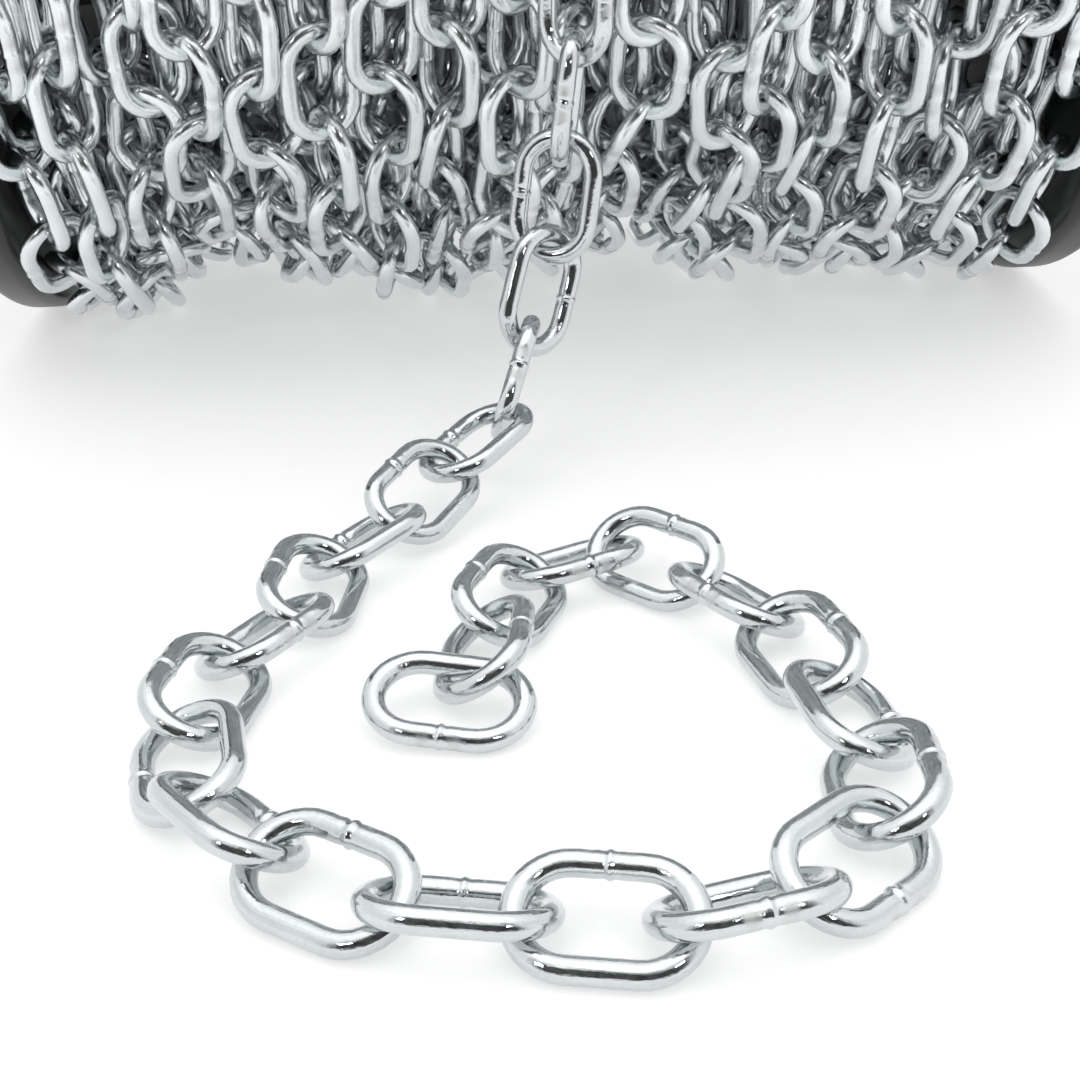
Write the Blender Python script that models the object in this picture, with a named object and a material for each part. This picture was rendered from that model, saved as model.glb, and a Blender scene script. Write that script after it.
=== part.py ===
"""A reel of welded steel chain that stands on its two flanges, with the free end of the chain
hanging off the front of the winding and laid out on the floor in an inward spiral.

Metres, +Z up. The reel's axis runs along X and the free end comes off towards -Y. The model is
built about the reel and then shifted, so that the origin is the middle of the whole footprint.
"""

import math

import bmesh
import bpy
import numpy as np
from mathutils import Matrix, Vector

MM = 0.001

# The chain: one welded oval link of round wire.
WIRE = 5.0 * MM
LINK_LENGTH = 36.0 * MM
LINK_WIDTH = 24.0 * MM
CROWN_RADIUS = (LINK_WIDTH - WIRE) / 2
STRAIGHT = LINK_LENGTH - LINK_WIDTH
CROWN_STEPS = 5
WIRE_SIDES = 6

# A link whose length is nearer upright than this takes its roll from the reel's axis.
STEEPEST = 0.6

# How far one link leads to the next where the chain is wound.
LINK_STEP = 25.6 * MM

# How the links of the free end are eased apart where they would touch.
CENTRELINE_STEPS = 30
SETTLE_GAP = 0.35 * MM
SETTLE_ROUNDS = 500
SINK_ROUNDS = 300
SINK_STEP = 0.04 * MM
SETTLE_EASE = 0.3
SETTLE_DONE = 0.02 * MM
NUDGE_TURN = 3.0

# The plastic reel.
FLANGE_RADIUS = 150.0 * MM
REEL_INSIDE = 322.0 * MM
RIM_WIDTH = 18.0 * MM
RIM_DEPTH = 14.0 * MM
RIM_ROUND = 6.0 * MM
RIM_ROUND_STEPS = 3
WEB = 5.0 * MM
HUB_RADIUS = 35.0 * MM
BORE_RADIUS = 20.0 * MM
SHARP_FROM = math.radians(35.0)
BARREL_RADIUS = 50.0 * MM
BARREL_WALL = 4.0 * MM
ROUND_STEPS = 64
BARREL_STEPS = 32
GAP = 0.3 * MM

# The rim is faceted and stands on a facet, so the reel's axis is one apothem above the floor.
AXIS_HEIGHT = FLANGE_RADIUS * math.cos(math.pi / ROUND_STEPS)

# The winding: hidden layers as one plain ring, and the outer layer of side-by-side turns.
HIDDEN_RADIUS = 124.0 * MM
WINDING_HALF = REEL_INSIDE / 2 - 2 * GAP
TURNS = 18
TURN_SPACING = 2 * WINDING_HALF / TURNS
LINKS_A_TURN = 34

# The heights of a wound link, from the reel's axis: its high bar and its low one, its open
# middle, and the crowns where it meets the next with the lower flanks beside them. They are
# told at five places across a turn, in parts of the turn's spacing.
CREST = 147.0 * MM
LOW_BAR = 134.5 * MM
EYE = 129.5 * MM
CROSSING = 142.0 * MM
FLANK = 137.0 * MM
ACROSS = (-0.48, -0.24, 0.0, 0.24, 0.48)

# The last wrap lies on top of the outer layer, from the back of the reel over to the front.
WRAP_INNER = CREST + 2 * GAP
WRAP_HIGH = 164.0 * MM
WRAP_CROSSING = 160.0 * MM
WRAP_LOW = 152.5 * MM
WRAP_EYE = 150.0 * MM
WRAP_RADIUS = 156.0 * MM
WRAP_LINKS = 23
WRAP_FIRST_ANGLE = math.radians(6.0)
WRAP_END_X = 150.0 * MM

# Where the links of the free end meet, in millimetres from the point of the floor under the
# middle of the reel: down the front of the winding, then over the floor in a spiral that turns
# inwards. The last link lies across the one before it, so it has a start of its own.
FREE_END_ROUTE = (
    (5.5, -156.0, 158.5),
    (4.8, -158.0, 133.0),
    (3.8, -160.0, 107.5),
    (0.2, -161.0, 82.5),
    (-3.5, -164.5, 57.0),
    (-11.0, -174.0, 34.0),
    (-19.0, -190.0, 17.0),
    (-34.0, -207.0, 13.0),
    (-46.5, -227.5, 9.5),
    (-63.0, -244.0, 7.5),
    (-67.5, -269.0, 6.5),
    (-81.5, -287.5, 6.5),
    (-87.5, -311.0, 6.5),
    (-83.5, -335.0, 6.5),
    (-66.5, -357.0, 7.0),
    (-46.0, -370.5, 7.0),
    (-21.5, -374.0, 6.0),
    (1.5, -379.0, 7.0),
    (26.5, -373.5, 7.5),
    (44.5, -358.5, 6.5),
    (46.5, -332.5, 6.5),
    (42.5, -306.5, 6.0),
    (36.0, -282.0, 7.0),
    (22.5, -261.5, 7.5),
    (6.0, -245.0, 7.0),
    (-16.0, -254.0, 6.5),
    (-26.0, -277.5, 7.0),
    (-28.5, -305.0, 7.0),
)
LAST_LINK = ((-22.0, -310.5, 6.0), (-48.0, -305.0, 7.0))

# How far each link of the free end is turned about its own length, in degrees, from the reel on.
# Zero is a link whose plane is level across, and neighbours sit roughly square to each other.
FREE_END_TURNS = (
    -15, 45, 100, 14, -39, -113, 12, -31, 22, -24, 23, -26, 18, -30,
    23, -23, 23, -27, 24, -27, 19, -24, 25, -34, 18, -28, 30, -16,
)
HANGING_LINKS = 8

STEEL = ("zinc_plated_steel", (0.72, 0.74, 0.76), 0.28, 1.0)
PLASTIC = ("black_plastic", (0.012, 0.012, 0.013), 0.38, 0.0)


def material(name, colour, roughness, metallic):
    made = bpy.data.materials.get(name)
    if made:
        return made
    made = bpy.data.materials.new(name)
    made.use_nodes = True
    shader = made.node_tree.nodes["Principled BSDF"]
    shader.inputs["Base Color"].default_value = (*colour, 1.0)
    shader.inputs["Roughness"].default_value = roughness
    shader.inputs["Metallic"].default_value = metallic
    made.diffuse_color = (*colour, 1.0)
    return made


def part(name, mesh, finish):
    """One sub-part. A mesh may be shared by like parts."""
    made = bpy.data.objects.new(name, mesh)
    if not mesh.materials:
        mesh.materials.append(material(*finish))
    bpy.context.scene.collection.objects.link(made)
    return made


def finish_mesh(bm, name):
    bmesh.ops.recalc_face_normals(bm, faces=bm.faces)
    mesh = bpy.data.meshes.new(name)
    bm.to_mesh(mesh)
    bm.free()
    mesh.shade_smooth()
    mesh.set_sharp_from_angle(angle=SHARP_FROM)
    return mesh


def turned(name, profile, steps, finish):
    """A ring turned about the X axis from a closed profile of (x, radius) points. Half a step of
    turn puts a flat facet at the bottom, so that a faceted rim stands as steadily as a round one."""
    bm = bmesh.new()
    start = math.pi / steps
    corners = [bm.verts.new((x, -r * math.sin(start), -r * math.cos(start))) for x, r in profile]
    edges = [bm.edges.new((corners[i - 1], corners[i])) for i in range(len(corners))]
    bmesh.ops.spin(
        bm, geom=edges, cent=(0, 0, 0), axis=(1, 0, 0), angle=math.tau, steps=steps, use_merge=True
    )
    bmesh.ops.remove_doubles(bm, verts=bm.verts, dist=1e-6)
    return part(name, finish_mesh(bm, name), finish)


def skinned(name, rings, closed, finish):
    """A solid through a row of sections that hold the same number of points. A closed one joins
    its last section to its first, and an open one is capped at both ends."""
    bm = bmesh.new()
    rows = [[bm.verts.new(point) for point in ring] for ring in rings]
    count = len(rows[0])
    for i in range(len(rows) if closed else len(rows) - 1):
        here, there = rows[i], rows[(i + 1) % len(rows)]
        for j in range(count):
            k = (j + 1) % count
            bm.faces.new((here[j], here[k], there[k], there[j]))
    if not closed:
        bm.faces.new(rows[0])
        bm.faces.new(rows[-1])
    return part(name, finish_mesh(bm, name), finish)


def link_mesh():
    """One welded link about its own centre: its length along X, its width along Y."""
    bm = bmesh.new()
    rings = []
    for end in (1, -1):
        for step in range(CROWN_STEPS + 1):
            turn = math.pi * (step / CROWN_STEPS - 0.5)
            out = Vector((math.cos(turn) * end, math.sin(turn) * end, 0.0))
            centre = Vector((STRAIGHT / 2 * end, 0.0, 0.0)) + out * CROWN_RADIUS
            ring = []
            for side in range(WIRE_SIDES):
                around = math.tau * (side + 0.5) / WIRE_SIDES
                offset = out * math.cos(around) + Vector((0.0, 0.0, math.sin(around)))
                ring.append(bm.verts.new(centre + offset * (WIRE / 2)))
            rings.append(ring)
    for i, ring in enumerate(rings):
        after = rings[(i + 1) % len(rings)]
        for side in range(WIRE_SIDES):
            other = (side + 1) % WIRE_SIDES
            bm.faces.new((ring[side], ring[other], after[other], after[side]))
    return finish_mesh(bm, "chain_link")


def link_axes(start, end, turn):
    """The directions of a link's length, width and thickness."""
    along = (end - start).normalized()
    level = Vector((0.0, 0.0, 1.0)).cross(along)
    if level.length < STEEPEST:
        level = Vector((1.0, 0.0, 0.0)) - along * along.x
    level.normalize()
    across = level * math.cos(turn) + along.cross(level) * math.sin(turn)
    return along, across, along.cross(across)


def centreline(centre, axes):
    """Points along the middle of a link's wire."""
    points = []
    for end in (1, -1):
        for step in range(CENTRELINE_STEPS + 1):
            turn = math.pi * (step / CENTRELINE_STEPS - 0.5)
            x = (STRAIGHT / 2 + math.cos(turn) * CROWN_RADIUS) * end
            points.append((x, math.sin(turn) * CROWN_RADIUS * end))
    for x in np.linspace(-STRAIGHT / 2, STRAIGHT / 2, CENTRELINE_STEPS)[1:-1]:
        points.append((x, CROWN_RADIUS))
        points.append((x, -CROWN_RADIUS))
    flat = np.array(points)
    return centre + flat[:, :1] * axes[0] + flat[:, 1:] * axes[1]


def nudge(centre, axes, at, push):
    """Moves a link by a push on one of its points, which shifts it and turns it a little."""
    arm = at - centre
    spin = Vector(np.cross(arm, push) / LINK_LENGTH**2 * NUDGE_TURN)
    if spin.length > 0:
        turn = np.array(Matrix.Rotation(spin.length, 3, spin.normalized()))
        axes = axes @ turn.T
    return centre + push, axes


def settle(links):
    """Lets the links on the floor sink onto it, and eases neighbours apart until their wires
    clear each other and the floor."""
    clear = WIRE + SETTLE_GAP
    for count in range(SETTLE_ROUNDS):
        lines = [centreline(*link) for link in links]
        worst = 0.0
        for i in range(len(links) - 1):
            apart = lines[i][:, None] - lines[i + 1][None]
            distance = np.linalg.norm(apart, axis=2)
            j, k = np.unravel_index(distance.argmin(), distance.shape)
            lack = clear - distance[j, k]
            worst = max(worst, lack)
            if lack > 0:
                push = apart[j, k] / distance[j, k] * lack * SETTLE_EASE
                if i > 0:
                    links[i] = nudge(*links[i], lines[i][j], push)
                links[i + 1] = nudge(*links[i + 1], lines[i + 1][k], -push)
        for i, (centre, axes) in enumerate(links):
            lift = WIRE / 2 - centreline(centre, axes)[:, 2].min()
            if i >= HANGING_LINKS and count < SINK_ROUNDS:
                lift = max(lift, -SINK_STEP)
            elif lift < 0:
                continue
            links[i] = (centre + np.array((0.0, 0.0, lift)), axes)
        if worst < SETTLE_DONE and count > SINK_ROUNDS:
            break
    return links


def free_end():
    """The links of the free end, each of them where the route runs and never in the floor."""
    ends = list(zip(FREE_END_ROUTE, FREE_END_ROUTE[1:])) + [LAST_LINK]
    links = []
    for (start, end), degrees in zip(ends, FREE_END_TURNS):
        start, end = Vector(start) * MM, Vector(end) * MM
        axes = np.array(link_axes(start, end, math.radians(degrees)))
        links.append((np.array((start + end) / 2), axes))
    mesh = link_mesh()
    for i, (centre, axes) in enumerate(settle(links)):
        link = part(f"free_link_{i + 1:02d}", mesh, STEEL)
        link.matrix_world = Matrix.Translation(Vector(centre)) @ Matrix(axes.T.tolist()).to_4x4()


def flange(name, side):
    """A flange with a thick rounded rim, a thin web and a bored hub. side is -1 left, 1 right."""
    inside, outside = REEL_INSIDE / 2, REEL_INSIDE / 2 + RIM_WIDTH
    profile = [(inside, BORE_RADIUS)]
    for step in range(2 * RIM_ROUND_STEPS + 2):
        past = step > RIM_ROUND_STEPS
        turn = math.pi / 2 * (step - past) / RIM_ROUND_STEPS
        x = (outside - RIM_ROUND) if past else (inside + RIM_ROUND)
        profile.append((
            x - math.cos(turn) * RIM_ROUND,
            FLANGE_RADIUS - RIM_ROUND + math.sin(turn) * RIM_ROUND,
        ))
    profile += (
        (outside, FLANGE_RADIUS - RIM_DEPTH),
        (inside + WEB, FLANGE_RADIUS - RIM_DEPTH - RIM_ROUND),
        (inside + WEB, HUB_RADIUS + RIM_ROUND),
        (outside, HUB_RADIUS),
        (outside, BORE_RADIUS),
    )
    made = turned(name, [(x * side, r) for x, r in profile], ROUND_STEPS, PLASTIC)
    made.location.z = AXIS_HEIGHT
    return made


def barrel():
    half = REEL_INSIDE / 2 - GAP
    inner = BARREL_RADIUS - BARREL_WALL
    made = turned(
        "reel_barrel",
        ((-half, inner), (half, inner), (half, BARREL_RADIUS), (-half, BARREL_RADIUS)),
        BARREL_STEPS,
        PLASTIC,
    )
    made.location.z = AXIS_HEIGHT


def hidden_winding():
    inner = BARREL_RADIUS + GAP
    made = turned(
        "hidden_winding",
        (
            (-WINDING_HALF, inner),
            (WINDING_HALF, inner),
            (WINDING_HALF, HIDDEN_RADIUS),
            (-WINDING_HALF, HIDDEN_RADIUS),
        ),
        LINKS_A_TURN,
        STEEL,
    )
    made.location.z = AXIS_HEIGHT


def around_reel(x, radius, angle):
    """A point by its angle about the reel's axis: 0 is the front and a quarter turn is the top."""
    return Vector((x, -radius * math.cos(angle), AXIS_HEIGHT + radius * math.sin(angle)))


def link_sections(high, low, eye, crossing, flank, links):
    """The heights across a row of links at a link's middle and where two links meet, in turn: its
    edges, the inner sides of its two bars, and between them its eye or the crossing crowns.
    Neighbouring links stand square to each other, so the high bar changes sides."""
    sections = []
    for link in range(links):
        left, right = (high, low) if link % 2 else (low, high)
        sections.append((left, left, eye, right, right))
        sections.append((flank, crossing, crossing, crossing, flank))
    return sections


def outer_winding():
    """The outer layer of turns as one solid, with the eyes of the links and the steps between
    the turns cut into its face."""
    inner = HIDDEN_RADIUS + 2 * GAP
    sections = link_sections(CREST, LOW_BAR, EYE, CROSSING, FLANK, LINKS_A_TURN)
    rings = []
    for i, heights in enumerate(sections):
        angle = math.tau * (i + 1) / len(sections)
        ring = [(WINDING_HALF, inner), (-WINDING_HALF, inner)]
        for turn in range(TURNS):
            middle = -WINDING_HALF + TURN_SPACING * (turn + 0.5)
            ring += [(middle + TURN_SPACING * at, r) for at, r in zip(ACROSS, heights)]
        rings.append([around_reel(x, r, angle) for x, r in ring])
    skinned("outer_winding", rings, True, STEEL)


def last_wrap():
    """The last wrap as one band, with the eyes of its links cut into its face."""
    angle_step = LINK_STEP / WRAP_RADIUS / 2
    start_x = FREE_END_ROUTE[0][0] * MM
    sections = link_sections(WRAP_HIGH, WRAP_LOW, WRAP_EYE, WRAP_CROSSING, WRAP_LOW, WRAP_LINKS)
    rings = []
    for i, heights in enumerate(sections):
        angle = WRAP_FIRST_ANGLE + angle_step * i
        x = start_x + (WRAP_END_X - start_x) * i / len(sections)
        across = [x + TURN_SPACING * at for at in ACROSS]
        ring = list(zip(across, heights)) + [(across[-1], WRAP_INNER), (across[0], WRAP_INNER)]
        rings.append([around_reel(at, r, angle) for at, r in ring])
    skinned("last_wrap", rings, False, STEEL)


def centre_on_footprint():
    """Moves everything so that the origin is on the floor, in the middle of the footprint."""
    bpy.context.view_layer.update()
    corners = [
        shape.matrix_world @ vertex.co
        for shape in bpy.data.objects
        for vertex in shape.data.vertices
    ]
    low = Vector(min(p[i] for p in corners) for i in range(3))
    high = Vector(max(p[i] for p in corners) for i in range(3))
    shift = Vector((-(low.x + high.x) / 2, -(low.y + high.y) / 2, -low.z))
    for shape in bpy.data.objects:
        shape.matrix_world = Matrix.Translation(shift) @ shape.matrix_world


for leftover in list(bpy.data.objects):
    bpy.data.objects.remove(leftover)
flange("left_flange", -1)
flange("right_flange", 1)
barrel()
hidden_winding()
outer_winding()
last_wrap()
free_end()
centre_on_footprint()
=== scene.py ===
"""Looks for a reel of welded steel chain with its free end run out on the floor."""

import math
from itertools import product

import bmesh
import bpy
import numpy as np
from mathutils import Matrix, Vector


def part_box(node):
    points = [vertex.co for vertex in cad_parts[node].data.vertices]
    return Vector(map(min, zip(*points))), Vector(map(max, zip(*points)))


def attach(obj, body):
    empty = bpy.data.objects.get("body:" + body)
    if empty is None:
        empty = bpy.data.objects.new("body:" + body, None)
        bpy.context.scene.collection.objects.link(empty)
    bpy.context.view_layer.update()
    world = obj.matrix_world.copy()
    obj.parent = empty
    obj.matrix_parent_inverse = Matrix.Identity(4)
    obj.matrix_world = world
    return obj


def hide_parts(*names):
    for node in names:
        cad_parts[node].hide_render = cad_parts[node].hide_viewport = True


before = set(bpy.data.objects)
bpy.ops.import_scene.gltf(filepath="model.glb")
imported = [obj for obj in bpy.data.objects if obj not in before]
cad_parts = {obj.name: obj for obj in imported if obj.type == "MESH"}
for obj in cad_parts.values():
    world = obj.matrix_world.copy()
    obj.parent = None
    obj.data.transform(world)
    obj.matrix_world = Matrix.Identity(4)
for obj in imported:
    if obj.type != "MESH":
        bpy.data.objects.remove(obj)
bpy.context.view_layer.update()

MM = 0.001

# The chain.
WIRE = 5.0 * MM
LINK_LENGTH = 36.0 * MM
LINK_WIDTH = 24.0 * MM
CROWN = (LINK_WIDTH - WIRE) / 2
HALF_SIDE = (LINK_LENGTH - LINK_WIDTH) / 2
WIRE_LENGTH = 4 * HALF_SIDE + 2 * math.pi * CROWN
PITCH = LINK_LENGTH - 2 * WIRE
WOUND_PITCH = 25.6 * MM

# The weld: a raised bead with a groove on each side, and the marks of the clamps beyond.
BEAD_HEIGHT = 0.26 * MM
BEAD_WIDTH = 0.5 * MM
GROOVE_DEPTH = 0.12 * MM
GROOVE_AT = 1.2 * MM
GROOVE_WIDTH = 0.5 * MM
MARK_DEPTH = 0.22 * MM
MARK_AT = 3.3 * MM
MARK_WIDTH = 1.6 * MM

# The reel. Where it stands and how wide it is come from the CAD flange.
reel_low, reel_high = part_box("left_flange")
AXIS_Y = (reel_low[1] + reel_high[1]) / 2
AXIS_Z = (reel_low[2] + reel_high[2]) / 2
AXIS = np.array((0, AXIS_Y, AXIS_Z))
INSIDE_HALF = -reel_high[0]
OUTSIDE_HALF = -reel_low[0]
FLANGE_RADIUS = 150.0 * MM
RIM_DEPTH = 14.0 * MM
RIM_ROUND = 6.0 * MM
EDGE_ROUND = 2.0 * MM
HUB_RADIUS = 35.0 * MM
BORE_RADIUS = 20.0 * MM
TUBE_RADIUS = 50.0 * MM
TUBE_INNER_RADIUS = 46.0 * MM
TUBE_GAP = 0.3 * MM
FLANGE_STEPS = 192
TUBE_STEPS = 96
SHARP_ANGLE = math.radians(40)

# The flange's fine groove and its thin web, as places out from its inside face and from the
# axis, in millimetres.
FLANGE_GROOVE = ((0.0, 132.0), (0.35, 132.6), (0.35, 133.4), (0.0, 134.0))
FLANGE_WEB = ((6.0, 135.0), (5.0, 132.0), (5.0, 42.0), (6.5, 39.5))

# The winding: three layers of turns, each with its radius, the angle at which it starts and how
# loosely it lies. The links lie askew, rolled one way and the other by turns.
TURNS = 18
OUTER_RADIUS = 136.8 * MM
OUTER_START = math.radians(200)
OUTER_LOOSE = 1.0
SECOND_RADIUS = 123.8 * MM
SECOND_START = math.radians(10)
THIRD_RADIUS = 111.0 * MM
THIRD_START = math.radians(100)
INNER_LOOSE = 0.5
EDGE_ROOM = 9.75 * MM
WANDER_ASIDE = 2.2 * MM
WANDER_OUT = 1.6 * MM
JOINT_JITTER = 0.5 * MM
LINK_ROLL = math.radians(45)
ROLL_SPREAD = math.radians(14)
LINKS_A_PIECE = 220

# The last wrap lies on top of the layers, and its last links sink in among the outer turns.
WRAP_LINKS = 23
WRAP_END_X = 150.0 * MM
WRAP_RADIUS = 156.0 * MM
WRAP_SETTLES_AFTER = 2.0
WRAP_SINKING_LINKS = 4
WRAP_SINK_MM = 2.5
WRAP_ROLL_SPREAD = math.radians(8)

# Under the front of the reel the turns are slack. Each row is a place along the axis, how far it
# reaches, how far the turns there part sideways and how far they hang.
SLACK_AT = math.radians(-72)
SLACK_REACH = math.radians(34)
SLACK_PARTING = 3
SLACK_TURNS = (
    (-142.0 * MM, 16.0 * MM, 0.0, 7.0 * MM),
    (-106.0 * MM, 14.0 * MM, 12.0 * MM, -7.0 * MM),
    (24.0 * MM, 20.0 * MM, 22.0 * MM, -9.0 * MM),
    (146.0 * MM, 16.0 * MM, 0.0, 6.0 * MM),
)

# How wound links are eased apart. The first rounds also draw them onto the winding, or down where
# they hang under it, and the last rounds only part them. The first links of the free end push on
# them too, but stay where they are.
EASE_ROUNDS = 90
EASE_LAST_ROUNDS = 15
EASE_POINTS = 24
EASE_CLEAR = WIRE + 0.05 * MM
EASE_REACH = 7.5 * MM
EASE_LOOK_EVERY = 6
EASE_FLOOR = WIRE / 2 + 0.3 * MM
EASE_SHIFT = 1.1
EASE_SPIN = 0.6
EASE_MOST_SPIN = 0.2
LINK_GYRATION = 11 * MM
PULL_IN_MM = 0.035
PULL_DOWN_MM = 0.045
HANGS_BELOW = -0.55
FLOOR_CLEAR = 0.2 * MM
FIXED_TAIL_LINKS = 4

# The side of each link of the free end that its weld is on, as seen in plan.
LEFT, RIGHT, FAR, NEAR = (-1, 0, 0), (1, 0, 0), (0, 1, 0), (0, -1, 0)
WELD_SIDES = (
    LEFT, RIGHT, NEAR, LEFT, RIGHT, NEAR, FAR, FAR, FAR, FAR, NEAR, FAR, LEFT, FAR,
    FAR, FAR, FAR, NEAR, NEAR, RIGHT, RIGHT, FAR, NEAR, FAR, NEAR, LEFT, RIGHT, NEAR,
)

# How fine each part of the finish is: grain, clouds and specks over the surface, and the streaks
# round and along the wire that drawing it leaves.
GRAIN_SCALE = 900.0
CLOUD_SCALE = 110.0
SPECK_SCALE = 3200.0
STREAK_SCALE = (34.0, 9.0, 1.0)
ZINC_BUMP = 0.25 * MM
MOULD_GRAIN_SCALE = 1400.0
MOULD_CLOUD_SCALE = 18.0
MOULD_BUMP = 0.2 * MM

SEED = 11
RNG = np.random.default_rng(SEED)


# One link


def stations(weld, crown_steps, far):
    """The stations around a link: how far each is along the wire from the weld, its point and
    its outward direction in the link's plane."""
    rows = []
    for u in weld:
        rows.append((u, u, CROWN, 0.0, 1.0))
    base = HALF_SIDE
    for end in (1, -1):
        for i in range(1, crown_steps):
            turn = math.pi * i / crown_steps
            nx, ny = math.sin(turn) * end, math.cos(turn) * end
            rows.append((base + turn * CROWN, HALF_SIDE * end + nx * CROWN, ny * CROWN, nx, ny))
        base += math.pi * CROWN
        if end == 1:
            for u in far:
                rows.append((base + HALF_SIDE + u, -u, -CROWN, 0.0, -1.0))
            base += 2 * HALF_SIDE
    return rows


def welded(u, phi, outward):
    """The wire's radius near the weld, and how much of a clamp's uneven mark is there."""
    r = WIRE / 2
    r += BEAD_HEIGHT * math.exp(-((u / BEAD_WIDTH) ** 2))
    r -= GROOVE_DEPTH * math.exp(-(((abs(u) - GROOVE_AT) / GROOVE_WIDTH) ** 2))
    mark = math.exp(-(((abs(u) - MARK_AT) / MARK_WIDTH) ** 4)) * max(0.0, outward - 0.1)
    wobble = 0.5 + 0.5 * math.sin(u / MM * 4.1 + 2.3 * phi) * math.cos(u / MM * 2.7 - phi)
    r -= MARK_DEPTH * mark * wobble
    return r, mark


def link_template(sides, weld, crown_steps, far):
    """A link's points and faces, where each point is round and along the wire, and how dull."""
    rows = stations(weld, crown_steps, far)
    points, uv, dull = [], [], []
    for s, x, y, nx, ny in rows:
        u = s if s < WIRE_LENGTH / 2 else s - WIRE_LENGTH
        on_weld_side = y > CROWN * 0.99
        for k in range(sides):
            phi = math.tau * (k + 0.5) / sides
            c, z = math.cos(phi), math.sin(phi)
            r, mark = welded(u, phi, c) if on_weld_side else (WIRE / 2, 0.0)
            points.append((x + nx * c * r, y + ny * c * r, z * r))
            uv.append((phi / math.tau, s / WIRE_LENGTH))
            dull.append(mark)
    count = len(rows)
    quads = []
    for i in range(count):
        j = (i + 1) % count
        for k in range(sides):
            m = (k + 1) % sides
            quads.append((i * sides + k, i * sides + m, j * sides + m, j * sides + k))
    return np.array(points), np.array(quads), np.array(uv), np.array(dull)


def spread(*millimetres):
    """Places along the wire, in metres."""
    return [value * MM for value in millimetres]


FINE = link_template(
    20,
    spread(-5.6, -4.9, -4.2, -3.5, -2.8, -2.1, -1.5, -1.0, -0.6, -0.3, 0.0, 0.3, 0.6, 1.0, 1.5, 2.1,
           2.8, 3.5, 4.2, 4.9, 5.6),
    16,
    spread(-6, -3, 0, 3, 6),
)
MEDIUM = link_template(12, spread(-6.0, -3.4, -0.9, 0.0, 0.9, 3.4, 6.0), 13, spread(-6, 0, 6))
SIMPLE = link_template(8, spread(-5.0, 0.0, 5.0), 7, spread(-6, 6))
ROUGH = link_template(6, spread(-6.0, 6.0), 6, spread(-6, 6))


def unwrapped(uv):
    """Face corners' places on the wire, with the faces across the seam kept in one run."""
    for column in (0, 1):
        value = uv[:, :, column]
        across = (value.max(1) - value.min(1)) > 0.5
        uv[across, :, column] = np.where(value[across] < 0.5, value[across] + 1, value[across])
    return uv


def chain_piece(name, links, template, material):
    """One mesh of many links. Each link is a centre and its axes: length, width, thickness."""
    points, quads, uv, dull = template
    centres = np.array([c for c, _ in links])
    axes = np.array([a for _, a in links])
    n, v = len(links), len(points)
    verts = centres[:, None] + np.einsum("vk,nkj->nvj", points, axes)
    faces = (quads[None] + (np.arange(n) * v)[:, None, None]).reshape(-1, 4)
    mesh = bpy.data.meshes.new(name)
    mesh.vertices.add(n * v)
    mesh.vertices.foreach_set("co", verts.reshape(-1).astype(np.float32))
    mesh.loops.add(faces.size)
    mesh.loops.foreach_set("vertex_index", faces.reshape(-1).astype(np.int32))
    mesh.polygons.add(len(faces))
    mesh.polygons.foreach_set("loop_start", np.arange(0, faces.size, 4, dtype=np.int32))
    mesh.update(calc_edges=True)
    along = mesh.uv_layers.new(name="along")
    corners = unwrapped(uv[quads])
    along.data.foreach_set("uv", np.tile(corners.reshape(-1), n).astype(np.float32))
    marks = mesh.attributes.new("dull", "FLOAT", "POINT")
    marks.data.foreach_set("value", np.tile(dull, n).astype(np.float32))
    tones = mesh.attributes.new("tone", "FLOAT", "POINT")
    tones.data.foreach_set("value", np.repeat(RNG.random(n), v).astype(np.float32))
    mesh.shade_smooth()
    mesh.materials.append(material)
    piece = bpy.data.objects.new(name, mesh)
    bpy.context.scene.collection.objects.link(piece)
    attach(piece, "root")
    return piece


# Where the links of the free end are


def free_links():
    """The names of the free end's CAD links, and each one's centre and axes, from its corners."""
    found = []
    names = sorted(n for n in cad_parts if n.startswith("free_link_"))
    for name in names:
        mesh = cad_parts[name].data
        co = np.empty(len(mesh.vertices) * 3, dtype=np.float32)
        mesh.vertices.foreach_get("co", co)
        co = co.reshape(-1, 3).astype(float)
        matrix = np.array(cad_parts[name].matrix_world)
        co = co @ matrix[:3, :3].T + matrix[:3, 3]
        co = np.unique(co.round(6), axis=0)
        centre = co.mean(0)
        _, _, rows = np.linalg.svd(co - centre)
        long, wide = rows[0], rows[1]
        found.append([centre, np.array((long, wide, np.cross(long, wide)))])
    for i, (centre, axes) in enumerate(found):
        ahead = found[i + 1][0] - centre if i + 1 < len(found) else centre - found[i - 1][0]
        if axes[0] @ ahead < 0:
            axes[0] *= -1
            axes[2] *= -1
    return names, found


def turn_welds(links):
    """Gives each link of the free end a half turn where its weld isn't on its stated side."""
    for (_, axes), side in zip(links, WELD_SIDES):
        if axes[1] @ np.array(side, dtype=float) < 0:
            axes[1] *= -1
            axes[2] *= -1


# Where the links of the winding are


def around(x, radius, angle):
    """A point by its angle about the reel's axis: 0 is the front, a quarter turn is the top."""
    return np.stack(
        [x, AXIS_Y - radius * np.cos(angle), AXIS_Z + radius * np.sin(angle)], axis=-1
    )


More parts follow.
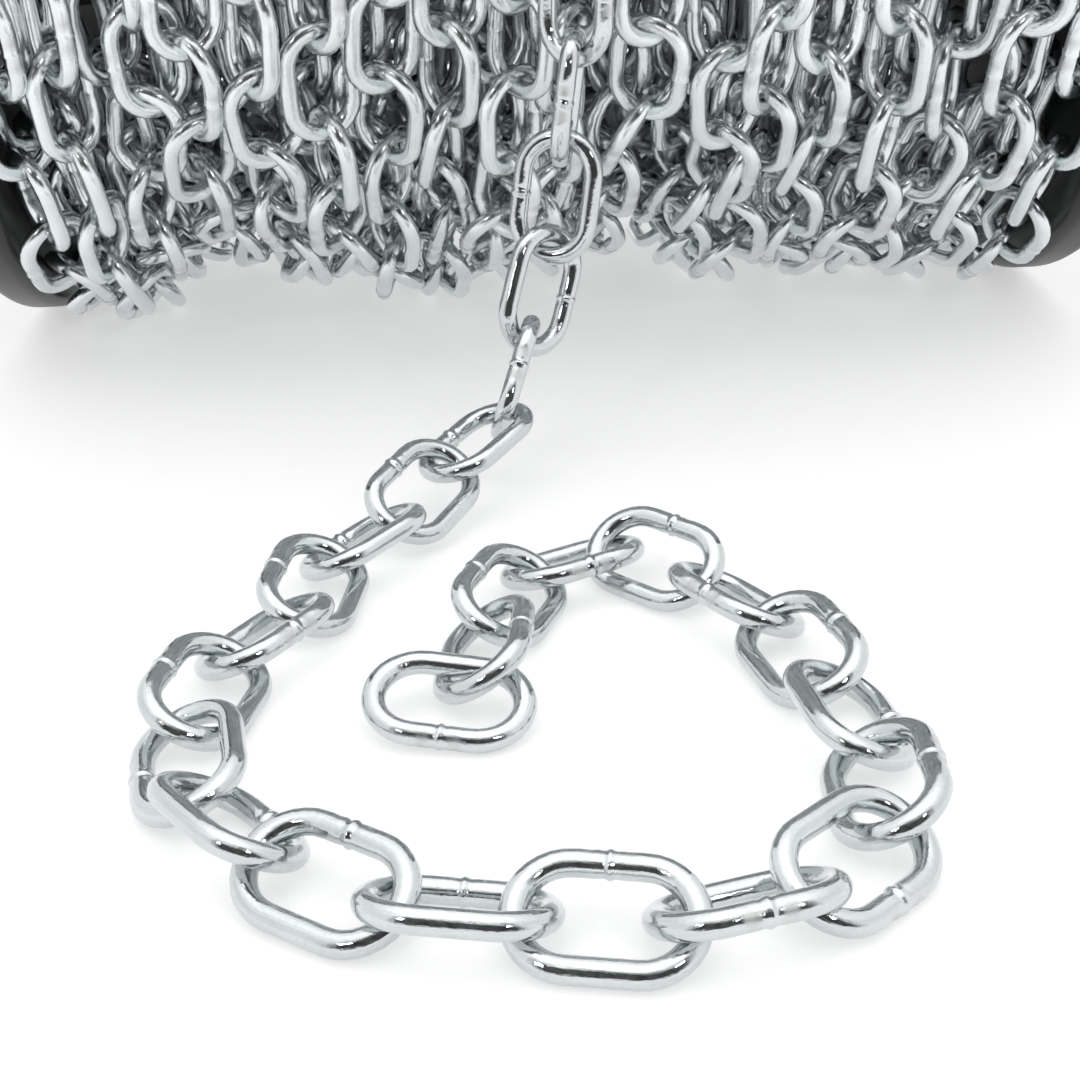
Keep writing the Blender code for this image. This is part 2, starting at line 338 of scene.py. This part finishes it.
def links_between(joints, rolls):
    """Links from joint to joint, each rolled about its own length from lying flat."""
    centres = (joints[1:] + joints[:-1]) / 2
    along = joints[1:] - joints[:-1]
    along /= np.linalg.norm(along, axis=1)[:, None]
    radial = centres - AXIS
    radial[:, 0] = 0
    radial -= along * (radial * along).sum(1)[:, None]
    radial /= np.linalg.norm(radial, axis=1)[:, None]
    lateral = np.cross(along, radial)
    across = lateral * np.cos(rolls)[:, None] + radial * np.sin(rolls)[:, None]
    axes = np.stack([along, across, np.cross(along, across)], axis=1)
    return centres, axes


def wander(count, size, smooth):
    """Smooth noise along a row of joints."""
    noise = RNG.normal(size=count + 2 * smooth)
    kernel = np.hanning(smooth * 2 + 1)
    noise = np.convolve(noise, kernel / np.sqrt((kernel**2).sum()), mode="same")
    return noise[smooth : smooth + count] * size


def slack(x, angle, size):
    """How far the loose turns under the reel part sideways and how far they hang."""
    off = (angle - SLACK_AT + math.pi) % math.tau - math.pi
    near = np.exp(-((off / SLACK_REACH) ** 2)) * size
    aside = np.zeros_like(x)
    hang = np.zeros_like(x)
    for middle, reach, shift, drop in SLACK_TURNS:
        far = (x - middle) / reach
        aside += shift * np.tanh(far * SLACK_PARTING) * np.exp(-np.abs(far))
        hang += drop * np.exp(-(far**2))
    return aside * near, hang * near


def within(x):
    """Places along the axis kept between the flanges, with room for a link."""
    return np.clip(x, -INSIDE_HALF + EDGE_ROOM, INSIDE_HALF - EDGE_ROOM)


def layer(radius, start, way, loose):
    """One layer of turns from flange to flange, as the links between its joints."""
    lead = (2 * INSIDE_HALF - 2 * EDGE_ROOM) / (TURNS - 1)
    angle_step = 2 * math.asin(WOUND_PITCH / (2 * radius))
    count = int(TURNS * math.tau / angle_step)
    k = np.arange(count + 1)
    x = -way * (INSIDE_HALF - EDGE_ROOM) + way * lead * (k * angle_step / math.tau - 0.5)
    x = within(x)
    _, hang = slack(x, start + k * angle_step, loose)
    turned = np.cumsum(angle_step * radius / (radius + hang[:-1]))
    angle = start + np.concatenate([[0], turned])
    aside, hang = slack(x, angle, loose)
    x = within(x + aside)
    x = x + wander(count + 1, WANDER_ASIDE * loose, smooth=3)
    x = x + RNG.normal(size=count + 1) * JOINT_JITTER * loose
    r = radius + hang + wander(count + 1, WANDER_OUT * loose, smooth=2)
    uneven = RNG.normal(size=count) * ROLL_SPREAD * loose
    rolls = np.where(k[:-1] % 2, 1, -1) * LINK_ROLL + uneven
    return links_between(around(x, r, angle), rolls)


def wrap(first):
    """The last wrap, from the free end's first link up over the top and down the back."""
    centre, axes = first
    start = centre - axes[0] * PITCH / 2
    rel = start - AXIS
    angle0 = math.atan2(rel[2], -rel[1])
    r0 = math.hypot(rel[1], rel[2])
    k = np.arange(WRAP_LINKS + 1)
    x = start[0] + (WRAP_END_X - start[0]) * (k / WRAP_LINKS)
    dx = (WRAP_END_X - start[0]) / WRAP_LINKS
    angle = angle0 + k * math.sqrt(WOUND_PITCH**2 - dx**2) / WRAP_RADIUS
    r = WRAP_RADIUS + (r0 - WRAP_RADIUS) * np.exp(-k / WRAP_SETTLES_AFTER)
    sinking = np.clip(k - (WRAP_LINKS - WRAP_SINKING_LINKS), 0, WRAP_SINKING_LINKS)
    r = r - sinking * WRAP_SINK_MM * MM
    uneven = RNG.normal(size=WRAP_LINKS) * WRAP_ROLL_SPREAD
    rolls = np.where(k[:-1] % 2, 1, -1) * LINK_ROLL + uneven
    return links_between(around(x, r, angle), rolls)


# Easing the wound links apart


def centreline(count):
    """Points spaced evenly along a link's centreline."""
    out = []
    for i in range(count):
        s = WIRE_LENGTH * i / count
        if s < 2 * HALF_SIDE:
            out.append((s - HALF_SIDE, CROWN, 0))
        elif s < 2 * HALF_SIDE + math.pi * CROWN:
            t = (s - 2 * HALF_SIDE) / CROWN
            out.append((HALF_SIDE + math.sin(t) * CROWN, math.cos(t) * CROWN, 0))
        elif s < 4 * HALF_SIDE + math.pi * CROWN:
            out.append((HALF_SIDE - (s - 2 * HALF_SIDE - math.pi * CROWN), -CROWN, 0))
        else:
            t = (s - 4 * HALF_SIDE - math.pi * CROWN) / CROWN
            out.append((-HALF_SIDE - math.sin(t) * CROWN, -math.cos(t) * CROWN, 0))
    return np.array(out)


def close_pairs(points, owner, reach):
    """Pairs of points of different links that are within reach of each other."""
    cell = np.floor(points / reach).astype(np.int64)
    cell -= cell.min(0) - 1
    size = cell.max(0) + 2
    key = (cell[:, 0] * size[1] + cell[:, 1]) * size[2] + cell[:, 2]
    order = np.argsort(key, kind="stable")
    keys = key[order]
    cells, first, count = np.unique(keys, return_index=True, return_counts=True)
    most = count.max()
    left, right = [], []
    index = np.arange(len(points))
    for dx, dy, dz in product((-1, 0, 1), repeat=3):
        shift = (dx * size[1] + dy) * size[2] + dz
        if shift < 0:
            continue
        at = np.searchsorted(cells, key + shift)
        at = np.minimum(at, len(cells) - 1)
        hit = cells[at] == key + shift
        for m in range(most):
            ok = hit & (m < count[at])
            i = index[ok]
            j = order[first[at[ok]] + m]
            if shift == 0:
                keep = i < j
                i, j = i[keep], j[keep]
            keep = owner[i] != owner[j]
            i, j = i[keep], j[keep]
            near = np.linalg.norm(points[i] - points[j], axis=1) < reach
            left.append(i[near])
            right.append(j[near])
    return np.concatenate(left), np.concatenate(right)


def turned_by(axes, spin):
    """The links' axes turned by a small rotation vector each."""
    size = np.linalg.norm(spin, axis=1)
    angle = np.minimum(size, EASE_MOST_SPIN)
    axis = spin / np.maximum(size, 1e-12)[:, None]
    for a in range(3):
        v = axes[:, a]
        axes[:, a] = (
            v * np.cos(angle)[:, None]
            + np.cross(axis, v) * np.sin(angle)[:, None]
            + axis * (axis * v).sum(1)[:, None] * (1 - np.cos(angle))[:, None]
        )
    return axes


def drawn_in(centres):
    """How the links are drawn onto the winding, or down where they hang under it."""
    radial = centres - AXIS
    radial[:, 0] = 0
    radial /= np.linalg.norm(radial, axis=1)[:, None]
    pull = -radial * PULL_IN_MM * MM
    pull[radial[:, 2] < HANGS_BELOW] = np.array((0, 0, -PULL_DOWN_MM * MM))
    return pull


def ease_apart(centres, axes, moving, rounds):
    """Pushes links apart where their wires overlap, and draws them onto the winding."""
    template = centreline(EASE_POINTS)
    n = len(centres)
    owner = np.repeat(np.arange(n), len(template))
    for count in range(rounds):
        arms = np.einsum("mk,nkj->nmj", template, axes)
        points = (centres[:, None] + arms).reshape(-1, 3)
        if count % EASE_LOOK_EVERY == 0:
            pairs = close_pairs(points, owner, EASE_REACH)
        i, j = pairs
        gap = points[i] - points[j]
        distance = np.linalg.norm(gap, axis=1)
        hit = distance < EASE_CLEAR
        i, j, gap, distance = i[hit], j[hit], gap[hit], distance[hit]
        push = gap / distance[:, None] * ((EASE_CLEAR - distance) / 2)[:, None]
        force = np.zeros((n, 3))
        torque = np.zeros((n, 3))
        hits = np.zeros(n)
        for index, sign in ((i, 1), (j, -1)):
            who = owner[index]
            arm = points[index] - centres[who]
            np.add.at(force, who, push * sign)
            np.add.at(torque, who, np.cross(arm, push * sign))
            np.add.at(hits, who, 1)

        # The flanges push back along the axis.
        out = np.abs(points[:, 0]) - (INSIDE_HALF - WIRE / 2)
        bad = np.nonzero(out > 0)[0]
        who = owner[bad]
        back = np.zeros((len(bad), 3))
        back[:, 0] = -np.sign(points[bad, 0]) * out[bad]
        np.add.at(force, who, back)
        np.add.at(torque, who, np.cross(points[bad] - centres[who], back))
        np.add.at(hits, who, 1)

        # The floor pushes up.
        low = EASE_FLOOR - points[:, 2]
        bad = np.nonzero(low > 0)[0]
        who = owner[bad]
        back = np.zeros((len(bad), 3))
        back[:, 2] = low[bad]
        np.add.at(force, who, back)
        np.add.at(hits, who, 1)

        hits = np.maximum(hits, 1)
        shift = force / hits[:, None] * EASE_SHIFT
        spin = torque / hits[:, None] / LINK_GYRATION**2 * EASE_SPIN
        if count < rounds - EASE_LAST_ROUNDS:
            shift = shift + drawn_in(centres)
        shift[~moving] = 0
        spin[~moving] = 0
        centres = centres + shift
        axes = turned_by(axes, spin)
    arms = np.einsum("mk,nkj->nmj", template, axes)
    lowest = (centres[:, None] + arms)[:, :, 2].min(1) - WIRE / 2
    centres[:, 2] += np.where(moving, np.maximum(FLOOR_CLEAR - lowest, 0), 0)
    return centres, axes


# Materials


def node(tree, kind, **values):
    made = tree.nodes.new(kind)
    for key, value in values.items():
        setattr(made, key, value)
    return made


def ramp(tree, source, stops):
    """A colour or grey value read off a source. A stop is a position and a colour or a grey."""
    made = node(tree, "ShaderNodeValToRGB")
    while len(made.color_ramp.elements) > 1:
        made.color_ramp.elements.remove(made.color_ramp.elements[-1])
    for i, (at, colour) in enumerate(stops):
        element = made.color_ramp.elements[0] if i == 0 else made.color_ramp.elements.new(at)
        element.position = at
        rgb = colour if isinstance(colour, tuple) else (colour, colour, colour)
        element.color = (*rgb, 1)
    tree.links.new(source, made.inputs[0])
    return made.outputs[0]


def mix(tree, factor, a, b, **values):
    """Two colours mixed. Each input is a socket or a constant."""
    made = node(tree, "ShaderNodeMix", data_type="RGBA", **values)
    for socket, value in ((0, factor), (6, a), (7, b)):
        if hasattr(value, "is_linked"):
            tree.links.new(value, made.inputs[socket])
        else:
            made.inputs[socket].default_value = value
    return made.outputs[2]


def math_node(tree, operation, *values):
    """A math node. Each value is a socket or a constant."""
    made = node(tree, "ShaderNodeMath", operation=operation)
    for socket, value in zip(made.inputs, values):
        if hasattr(value, "is_linked"):
            tree.links.new(value, socket)
        else:
            socket.default_value = value
    return made.outputs[0]


def noise_node(tree, vector, scale, detail):
    made = node(tree, "ShaderNodeTexNoise")
    made.inputs["Scale"].default_value = scale
    made.inputs["Detail"].default_value = detail
    tree.links.new(vector, made.inputs["Vector"])
    return made.outputs["Fac"]


def bump_from(tree, height, strength, distance):
    made = node(tree, "ShaderNodeBump")
    made.inputs["Strength"].default_value = strength
    made.inputs["Distance"].default_value = distance
    tree.links.new(height, made.inputs["Height"])
    return made.outputs[0]


def zinc(name, bright, rough, pits=0.0, relief=0.22):
    """Zinc-plated wire: bright, drawn along its length, dull where the weld's clamps bit.
    With pits, the plating is also pitted and has a faint bloom."""
    made = bpy.data.materials.new(name)
    made.use_nodes = True
    tree = made.node_tree
    shader = tree.nodes["Principled BSDF"]
    place = node(tree, "ShaderNodeTexCoord")
    fine = noise_node(tree, place.outputs["Object"], GRAIN_SCALE, detail=4.0)
    cloud = noise_node(tree, place.outputs["Object"], CLOUD_SCALE, detail=3.0)
    stretch = node(tree, "ShaderNodeMapping")
    stretch.inputs["Scale"].default_value = STREAK_SCALE
    tree.links.new(place.outputs["UV"], stretch.inputs["Vector"])
    streak = noise_node(tree, stretch.outputs[0], 1.0, detail=5.0)
    marks = node(tree, "ShaderNodeAttribute", attribute_name="dull").outputs["Fac"]
    tone = node(tree, "ShaderNodeAttribute", attribute_name="tone").outputs["Fac"]

    base = ramp(tree, cloud, ((0.3, tuple(c * 0.90 for c in bright)), (0.7, bright)))
    worn = ramp(tree, streak, ((0.35, (0.93, 0.93, 0.94)), (0.6, (1.0, 1.0, 1.0))))
    varied = ramp(tree, tone, ((0.0, 0.93), (1.0, 1.0)))
    colour = mix(tree, 1.0, base, worn, blend_type="MULTIPLY")
    colour = mix(tree, 1.0, colour, varied, blend_type="MULTIPLY")
    colour = mix(tree, marks, colour, (0.62, 0.63, 0.63, 1))
    tree.links.new(colour, shader.inputs["Base Color"])

    shine = ramp(tree, fine, ((0.3, rough * 0.8), (0.7, rough * 1.25)))
    shine = mix(tree, marks, shine, (0.5, 0.5, 0.5, 1))
    tree.links.new(shine, shader.inputs["Roughness"])
    shader.inputs["Metallic"].default_value = 1.0

    height = math_node(tree, "ADD", fine, streak)
    if pits:
        bloom = ramp(tree, fine, ((0.38, 0.91), (0.62, 0.98)))
        tree.links.new(bloom, shader.inputs["Metallic"])
        speck = noise_node(tree, place.outputs["Object"], SPECK_SCALE, detail=1.0)
        patchy = ramp(tree, cloud, ((0.42, 0.0), (0.62, 1.0)))
        pitted = math_node(tree, "MULTIPLY", speck, patchy)
        height = math_node(tree, "MULTIPLY_ADD", pitted, pits, height)
    tree.links.new(bump_from(tree, height, relief, ZINC_BUMP), shader.inputs["Normal"])
    return made


def plastic():
    """Satin black moulded plastic."""
    made = bpy.data.materials.new("black_plastic_look")
    made.use_nodes = True
    tree = made.node_tree
    shader = tree.nodes["Principled BSDF"]
    place = node(tree, "ShaderNodeTexCoord")
    grain = noise_node(tree, place.outputs["Object"], MOULD_GRAIN_SCALE, detail=2.0)
    cloud = noise_node(tree, place.outputs["Object"], MOULD_CLOUD_SCALE, detail=5.0)
    colour = ramp(tree, cloud, ((0.3, (0.008, 0.008, 0.009)), (0.7, (0.014, 0.014, 0.015))))
    tree.links.new(colour, shader.inputs["Base Color"])
    shine = ramp(tree, cloud, ((0.3, 0.30), (0.7, 0.42)))
    tree.links.new(shine, shader.inputs["Roughness"])
    tree.links.new(bump_from(tree, grain, 0.06, MOULD_BUMP), shader.inputs["Normal"])
    return made


# The reel


def turned_piece(name, profile, steps, material, node_name):
    """A ring turned about the reel's axis from a closed profile of (x, radius) points."""
    angles = np.arange(steps) * math.tau / steps + math.pi / steps
    rings = np.array([around(np.full(steps, x), r, angles) for x, r in profile])
    count = len(profile)
    verts = rings.reshape(-1, 3)
    faces = []
    for i in range(count):
        j = (i + 1) % count
        for k in range(steps):
            m = (k + 1) % steps
            faces.append((i * steps + k, i * steps + m, j * steps + m, j * steps + k))
    mesh = bpy.data.meshes.new(name)
    mesh.from_pydata([tuple(v) for v in verts], [], faces)

    bm = bmesh.new()
    bm.from_mesh(mesh)
    bmesh.ops.recalc_face_normals(bm, faces=bm.faces)
    bm.to_mesh(mesh)
    bm.free()
    mesh.shade_smooth()
    mesh.set_sharp_from_angle(angle=SHARP_ANGLE)
    mesh.materials.append(material)
    piece = bpy.data.objects.new(name, mesh)
    bpy.context.scene.collection.objects.link(piece)
    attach(piece, "root")
    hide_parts(node_name)
    return piece


def arc(x, r, radius, start, end, steps=8):
    """Points of a rounded edge, between two directions in degrees."""
    out = []
    for i in range(steps + 1):
        a = math.radians(start + (end - start) * i / steps)
        out.append((x + math.cos(a) * radius, r + math.sin(a) * radius))
    return out


def flange(side, name, node_name, material):
    """A flange with a thick rounded rim, a fine groove inside it, a thin web and a bored hub."""
    i, o = INSIDE_HALF, OUTSIDE_HALF
    rim_inner = FLANGE_RADIUS - RIM_DEPTH
    profile = arc(i + EDGE_ROUND, BORE_RADIUS + EDGE_ROUND, EDGE_ROUND, 270, 180, 4)
    profile += [(i + x * MM, r * MM) for x, r in FLANGE_GROOVE]
    profile += arc(i + RIM_ROUND, FLANGE_RADIUS - RIM_ROUND, RIM_ROUND, 180, 90)
    profile += arc(o - RIM_ROUND, FLANGE_RADIUS - RIM_ROUND, RIM_ROUND, 90, 0)
    profile += arc(o - EDGE_ROUND, rim_inner + EDGE_ROUND, EDGE_ROUND, 0, -90, 4)
    profile += [(i + x * MM, r * MM) for x, r in FLANGE_WEB]
    profile += arc(o - EDGE_ROUND, HUB_RADIUS - EDGE_ROUND, EDGE_ROUND, 90, 0, 4)
    profile += arc(o - EDGE_ROUND, BORE_RADIUS + EDGE_ROUND, EDGE_ROUND, 0, -90, 4)
    mirrored = [(x * side, r) for x, r in profile]
    return turned_piece(name, mirrored, FLANGE_STEPS, material, node_name)


# The chain and the reel, built


steel = zinc("zinc_look", (0.85, 0.89, 0.90), 0.22)
tail_steel = zinc("zinc_look_free_end", (0.68, 0.715, 0.725), 0.055, pits=0.45, relief=0.17)
# The innermost turns get a darker copy of the same zinc plating. It is painted shade for the deep
# layer of the winding.
shaded_inner_steel = zinc("zinc_look_inner_painted_shade", (0.78, 0.82, 0.83), 0.32)
black = plastic()

names, tail = free_links()
turn_welds(tail)
free_end = chain_piece("chain_free_end", tail, FINE, tail_steel)
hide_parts(*names)

outer_c, outer_a = layer(OUTER_RADIUS, OUTER_START, 1, OUTER_LOOSE)
second_c, second_a = layer(SECOND_RADIUS, SECOND_START, -1, INNER_LOOSE)
third_c, third_a = layer(THIRD_RADIUS, THIRD_START, 1, INNER_LOOSE)
wrap_c, wrap_a = wrap(tail[0])
tail_c = np.array([c for c, _ in tail[:FIXED_TAIL_LINKS]])
tail_a = np.array([a for _, a in tail[:FIXED_TAIL_LINKS]])
counts = np.cumsum([0, len(outer_c), len(wrap_c), len(second_c), len(tail_c)])
all_c = np.concatenate([outer_c, wrap_c, second_c, tail_c])
all_a = np.concatenate([outer_a, wrap_a, second_a, tail_a])
moving = np.zeros(len(all_c), dtype=bool)
moving[: counts[2]] = True
ease_rounds = EASE_ROUNDS
all_c, all_a = ease_apart(all_c, all_a, moving, ease_rounds)


def flipped_links(start, stop):
    """A run of the eased links, with the weld of every other one or so on the other side."""
    out = []
    for i in range(start, stop):
        axes = all_a[i]
        if RNG.random() < 0.5:
            axes = axes * np.array((1, -1, -1))[:, None]
        out.append((all_c[i], axes))
    return out


outer = flipped_links(counts[0], counts[1])
for part, start in enumerate(range(0, len(outer), LINKS_A_PIECE)):
    turns = outer[start : start + LINKS_A_PIECE]
    piece = chain_piece(f"chain_outer_turns_{part + 1}", turns, MEDIUM, steel)
    if part == 0:
        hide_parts("outer_winding")
piece = chain_piece("chain_last_wrap", flipped_links(counts[1], counts[2]), FINE, steel)
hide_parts("last_wrap")
second = flipped_links(counts[2], counts[3])
half = len(second) // 2
piece = chain_piece("chain_second_turns_1", second[:half], SIMPLE, steel)
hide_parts("hidden_winding")
chain_piece("chain_second_turns_2", second[half:], SIMPLE, steel)
# The third layer is drawn in the darker zinc, as painted shade deep in the winding.
chain_piece("chain_third_turns", list(zip(third_c, third_a)), ROUGH, shaded_inner_steel)

flange(-1, "reel_left_flange", "left_flange", black)
flange(1, "reel_right_flange", "right_flange", black)
tube_half = INSIDE_HALF - TUBE_GAP
tube_profile = [
    (-tube_half, TUBE_INNER_RADIUS),
    (tube_half, TUBE_INNER_RADIUS),
    (tube_half, TUBE_RADIUS),
    (-tube_half, TUBE_RADIUS),
]
turned_piece("reel_tube", tube_profile, TUBE_STEPS, black, "reel_barrel")

# Floor, light and camera

FLOOR_HALF = 6.0
FLOOR_COLOUR = (0.56, 0.56, 0.56, 1)
FLOOR_GLOW = 0.52


def floor_material():
    """A pale floor, which glows a little so that it stays white under soft light."""
    made = bpy.data.materials.new("pale_floor")
    made.use_nodes = True
    shader = made.node_tree.nodes["Principled BSDF"]
    shader.inputs["Base Color"].default_value = FLOOR_COLOUR
    shader.inputs["Roughness"].default_value = 0.8
    shader.inputs["Emission Color"].default_value = (1, 1, 1, 1)
    shader.inputs["Emission Strength"].default_value = FLOOR_GLOW
    return made


floor_mesh = bpy.data.meshes.new("floor")
floor_corners = [
    (-FLOOR_HALF, -FLOOR_HALF, 0),
    (FLOOR_HALF, -FLOOR_HALF, 0),
    (FLOOR_HALF, FLOOR_HALF, 0),
    (-FLOOR_HALF, FLOOR_HALF, 0),
]
floor_mesh.from_pydata(floor_corners, [], [(0, 1, 2, 3)])
floor_mesh.materials.append(floor_material())
floor = bpy.data.objects.new("floor", floor_mesh)
bpy.context.scene.collection.objects.link(floor)

# The room is bright all round and brightest overhead, but for a dark patch in front, behind the
# camera, which the wire mirrors as a dark streak. Each row is a place and how bright or how much
# of the patch is there.
OVERHEAD = ((0.0, 0.95), (0.5, 0.90), (0.8, 1.15), (0.97, 1.6))
PATCH_ASIDE = ((0.0, 1.0), (0.65, 1.0), (1.0, 0.0))
PATCH_UP = ((0.01, 0.0), (0.05, 1.0), (0.68, 1.0), (0.80, 0.6), (0.91, 0.0))
PATCH_COLOUR = (0.035, 0.033, 0.032, 1)
ROOM_STRENGTH = 1.15

world = bpy.data.worlds.new("studio")
bpy.context.scene.world = world
world.use_nodes = True
tree = world.node_tree
background = tree.nodes["Background"]
sky = node(tree, "ShaderNodeTexCoord")
split = node(tree, "ShaderNodeSeparateXYZ")
tree.links.new(sky.outputs["Generated"], split.inputs[0])
overhead = ramp(tree, split.outputs["Z"], OVERHEAD)
towards_front = math_node(tree, "MULTIPLY", split.outputs["Y"], -1.0)
azimuth = math_node(tree, "ARCTAN2", split.outputs["X"], towards_front)
aside = math_node(tree, "ABSOLUTE", azimuth)
near_front = ramp(tree, aside, PATCH_ASIDE)
band = ramp(tree, split.outputs["Z"], PATCH_UP)
patch = math_node(tree, "MULTIPLY", near_front, band)
tree.links.new(mix(tree, patch, overhead, PATCH_COLOUR), background.inputs["Color"])
background.inputs["Strength"].default_value = ROOM_STRENGTH

LAMP_SIZE = 0.14
LAMP_POWER = 2.2
LAMP_TARGET = Vector((0, 0, 0.05))


def area_light(name, at):
    """A small square lamp, for the glints along the wire."""
    light = bpy.data.lights.new(name, "AREA")
    light.shape = "RECTANGLE"
    light.size = LAMP_SIZE
    light.size_y = LAMP_SIZE
    light.energy = LAMP_POWER
    lamp = bpy.data.objects.new(name, light)
    lamp.location = at
    direction = LAMP_TARGET - Vector(at)
    lamp.rotation_euler = direction.to_track_quat("-Z", "Y").to_euler()
    bpy.context.scene.collection.objects.link(lamp)


area_light("lamp_left", (-1.0, -1.4, 1.15))
area_light("lamp_right", (0.75, -1.5, 1.15))

# The camera, set from the reel's own place: where it stands on the floor, how high, and how it
# looks down.
REEL_YAW = math.radians(2.7)
CAMERA_TILT = math.radians(27.0)
CAMERA_ROLL = math.radians(-1.5)
CAMERA_FROM_REEL = Vector((-28.4 * MM, -581.8 * MM))
CAMERA_HEIGHT = 181.5 * MM
FOCAL_WIDTHS = 1600.0 / 1080.0
SENSOR = 36.0

forward = Vector((math.sin(REEL_YAW), math.cos(REEL_YAW), 0))
right = Vector((math.cos(REEL_YAW), -math.sin(REEL_YAW), 0))
look = forward * math.cos(CAMERA_TILT) + Vector((0, 0, -math.sin(CAMERA_TILT)))
down = look.cross(right)
image_x = right * math.cos(CAMERA_ROLL) - down * math.sin(CAMERA_ROLL)
image_y = right * math.sin(CAMERA_ROLL) + down * math.cos(CAMERA_ROLL)
data = bpy.data.cameras.new("camera")
data.sensor_width = SENSOR
data.lens = SENSOR * FOCAL_WIDTHS
data.clip_start = 0.01
camera = bpy.data.objects.new("camera", data)
place = Matrix((image_x, -image_y, -look)).transposed().to_4x4()
place.translation = Vector((CAMERA_FROM_REEL.x, AXIS_Y + CAMERA_FROM_REEL.y, CAMERA_HEIGHT))
camera.matrix_world = place
bpy.context.scene.collection.objects.link(camera)
bpy.context.scene.camera = camera
bpy.context.scene.view_settings.view_transform = "Standard"
